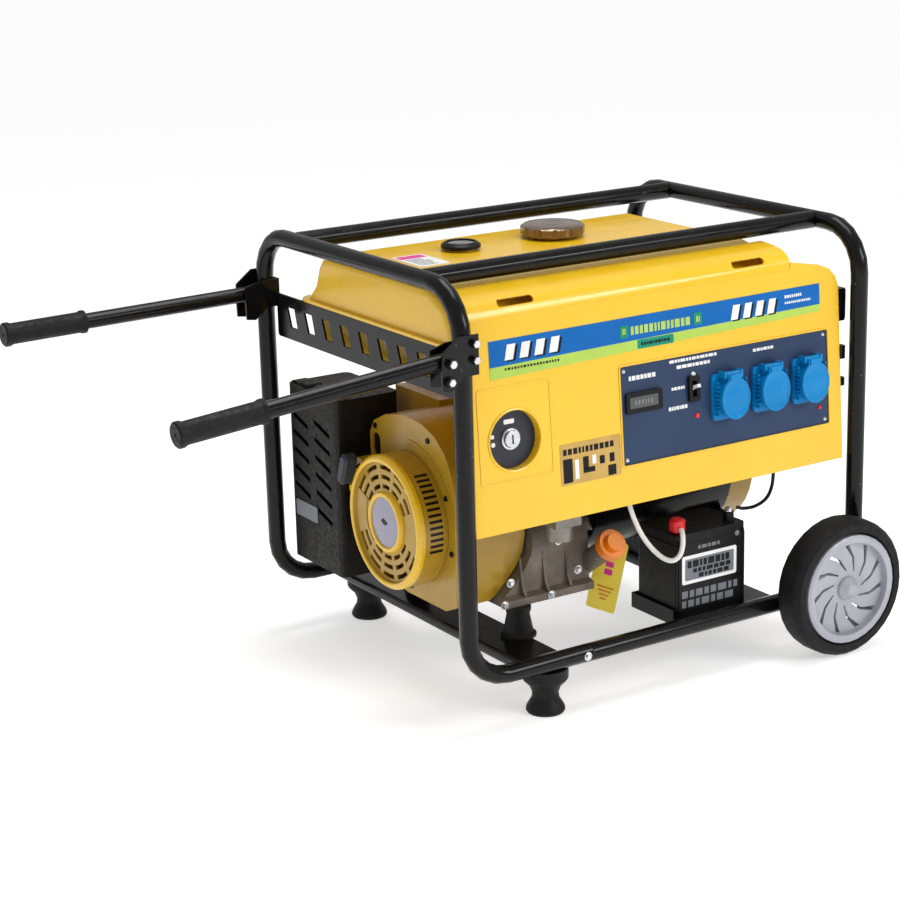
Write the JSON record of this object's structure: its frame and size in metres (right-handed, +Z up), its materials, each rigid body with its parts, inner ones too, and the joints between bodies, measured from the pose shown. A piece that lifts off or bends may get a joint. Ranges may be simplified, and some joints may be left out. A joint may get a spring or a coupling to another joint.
{
  "type": "portable generator",
  "caption": "Open-frame petrol generator: yellow tank and cowl with a control panel, recoil-start engine and alternator in a black tube frame with wheels and folding handles.",
  "frame": {"origin": "on the floor, under the centre of the box round the whole set with its handles out", "axes": "+X from the engine end with the handles to the wheel end, +Y from the control panel side to the back, +Z up"},
  "size_m": [1.1002, 0.654, 0.6125],
  "materials": {
    "black_paint": "gloss black powder coat",
    "yellow_paint": "gloss yellow enamel",
    "shroud_yellow": "satin golden yellow enamel",
    "slate_blue": "satin slate blue",
    "socket_blue": "moulded blue plastic",
    "cast_grey": "rough grey casting",
    "aluminium": "cast aluminium",
    "steel": "turned steel",
    "bronze_chrome": "dark plated steel",
    "black_plastic": "moulded black plastic",
    "dark_grey": "moulded dark grey plastic",
    "rubber": "black rubber",
    "tyre_rubber": "black solid rubber",
    "rim_grey": "light grey moulded plastic",
    "hot_black": "matt heat-resistant black",
    "orange": "orange moulded plastic",
    "tag_yellow": "yellow card laminated in film",
    "red": "soft red vinyl",
    "white_lead": "white insulation"
  },
  "bodies": {
    "set": {"control_panel": "slate_blue", "socket_1": "socket_blue", "socket_2": "socket_blue", "socket_3": "socket_blue", "hour_meter": "black_plastic", "breaker_body": "black_plastic", "key_switch": "dark_grey", "engine_end_hoop": "black_paint", "wheel_end_hoop": "black_paint", "top_rail_panel_side": "black_paint", "top_rail_rear_side": "black_paint", "engine_cross_member": "black_paint", "alternator_cross_member": "black_paint", "foot_panel_side": "rubber", "foot_rear_side": "rubber", "handle_bracket_panel_side": "black_paint", "handle_bracket_rear_side": "black_paint", "fuel_tank": "yellow_paint", "fuel_gauge": "black_plastic", "tank_support_engine_end": "black_paint", "tank_support_wheel_end": "black_paint", "front_cowl": "yellow_paint", "crankcase": "cast_grey", "oil_tag": "tag_yellow", "cylinder_head": "aluminium", "fan_shroud": "shroud_yellow", "recoil_cover": "shroud_yellow", "starter_rope": "rubber", "muffler_guard": "hot_black", "muffler": "hot_black", "carburettor": "aluminium", "air_cleaner": "black_plastic", "stator_housing": "black_paint", "alternator_end_cover": "shroud_yellow", "engine_isolator_panel_side": "rubber", "engine_isolator_rear_side": "rubber", "alternator_isolator": "rubber", "battery": "black_plastic", "positive_boot": "red", "positive_lead": "white_lead", "negative_lead": "black_plastic"},
    "wheel_panel_side": {"tyre_panel_side": "tyre_rubber", "rim_panel_side": "rim_grey"},
    "wheel_rear_side": {"tyre_rear_side": "tyre_rubber", "rim_rear_side": "rim_grey"},
    "handle_panel_side": {"handle_tube_panel_side": "black_paint", "handle_grip_panel_side": "rubber"},
    "handle_rear_side": {"handle_tube_rear_side": "black_paint", "handle_grip_rear_side": "rubber"},
    "cap_seal": {"fuel_cap_seal": "rubber"},
    "cap": {"fuel_cap": "bronze_chrome"},
    "lid_1": {"socket_lid_1": "socket_blue"},
    "lid_2": {"socket_lid_2": "socket_blue"},
    "lid_3": {"socket_lid_3": "socket_blue"},
    "toggle": {"breaker_toggle": "white_lead"},
    "key": {"key_rotor": "steel"},
    "shaft": {"crankshaft": "steel"},
    "pull_grip": {"starter_grip": "dark_grey"},
    "choke": {"choke_lever": "steel"},
    "dipstick": {"oil_dipstick": "orange"}
  },
  "joints": [
    {"name": "wheel_spin_panel_side", "type": "hinge", "parent": "set", "child": "wheel_panel_side", "pos_m": [0.4501, -0.2985, 0.1], "axis": [0, 1, 0], "continuous": true},
    {"name": "wheel_spin_rear_side", "type": "hinge", "parent": "set", "child": "wheel_rear_side", "pos_m": [0.4501, 0.2985, 0.1], "axis": [0, 1, 0], "continuous": true},
    {"name": "handle_fold_panel_side", "type": "hinge", "parent": "set", "child": "handle_panel_side", "pos_m": [-0.1779, -0.26, 0.514], "axis": [0, -1, 0], "range_deg": [0, 84]},
    {"name": "handle_fold_rear_side", "type": "hinge", "parent": "set", "child": "handle_rear_side", "pos_m": [-0.1779, 0.26, 0.514], "axis": [0, -1, 0], "range_deg": [0, 88]},
    {"name": "fuel_cap_lift", "type": "slide", "parent": "set", "child": "cap_seal", "axis": [0, 0, 1], "range_m": [0, 0.06]},
    {"name": "fuel_cap_turn", "type": "hinge", "parent": "cap_seal", "child": "cap", "pos_m": [0.1921, 0.031, 0.6], "axis": [0, 0, 1], "range_deg": [0, 90]},
    {"name": "socket_lid_1_open", "type": "hinge", "parent": "set", "child": "lid_1", "pos_m": [0.2801, -0.26327, 0.42888], "axis": [-1, 0, 0], "range_deg": [0, 100], "stiffness_Nm_per_rad": 0.02, "springref_deg": -22.92},
    {"name": "socket_lid_2_open", "type": "hinge", "parent": "set", "child": "lid_2", "pos_m": [0.3511, -0.26327, 0.42888], "axis": [-1, 0, 0], "range_deg": [0, 100], "stiffness_Nm_per_rad": 0.02, "springref_deg": -22.92},
    {"name": "socket_lid_3_open", "type": "hinge", "parent": "set", "child": "lid_3", "pos_m": [0.4221, -0.26327, 0.42888], "axis": [-1, 0, 0], "range_deg": [0, 100], "stiffness_Nm_per_rad": 0.02, "springref_deg": -22.92},
    {"name": "breaker_switch", "type": "hinge", "parent": "set", "child": "toggle", "pos_m": [0.2231, -0.24627, 0.41372], "axis": [1, 0, 0], "range_deg": [0, 36]},
    {"name": "key_turn", "type": "hinge", "parent": "set", "child": "key", "pos_m": [-0.0679, -0.24181, 0.39131], "axis": [0, -0.9976, 0.0689], "range_deg": [0, 90]},
    {"name": "crankshaft_spin", "type": "hinge", "parent": "set", "child": "shaft", "pos_m": [0.1791, -0.0175, 0.2326], "axis": [1, 0, 0], "continuous": true},
    {"name": "starter_pull", "type": "slide", "parent": "set", "child": "pull_grip", "axis": [-1, 0, 0], "range_m": [0, 0.6], "stiffness_N_per_m": 12, "springref_m": -0.3, "deforming": ["starter_rope"]},
    {"name": "choke_move", "type": "hinge", "parent": "set", "child": "choke", "pos_m": [0.0846, -0.172, 0.268], "axis": [-1, 0, 0], "range_deg": [0, 50]},
    {"name": "dipstick_pull", "type": "slide", "parent": "set", "child": "dipstick", "axis": [0, -0.8192, 0.5736], "range_m": [0, 0.1]}
  ]
}
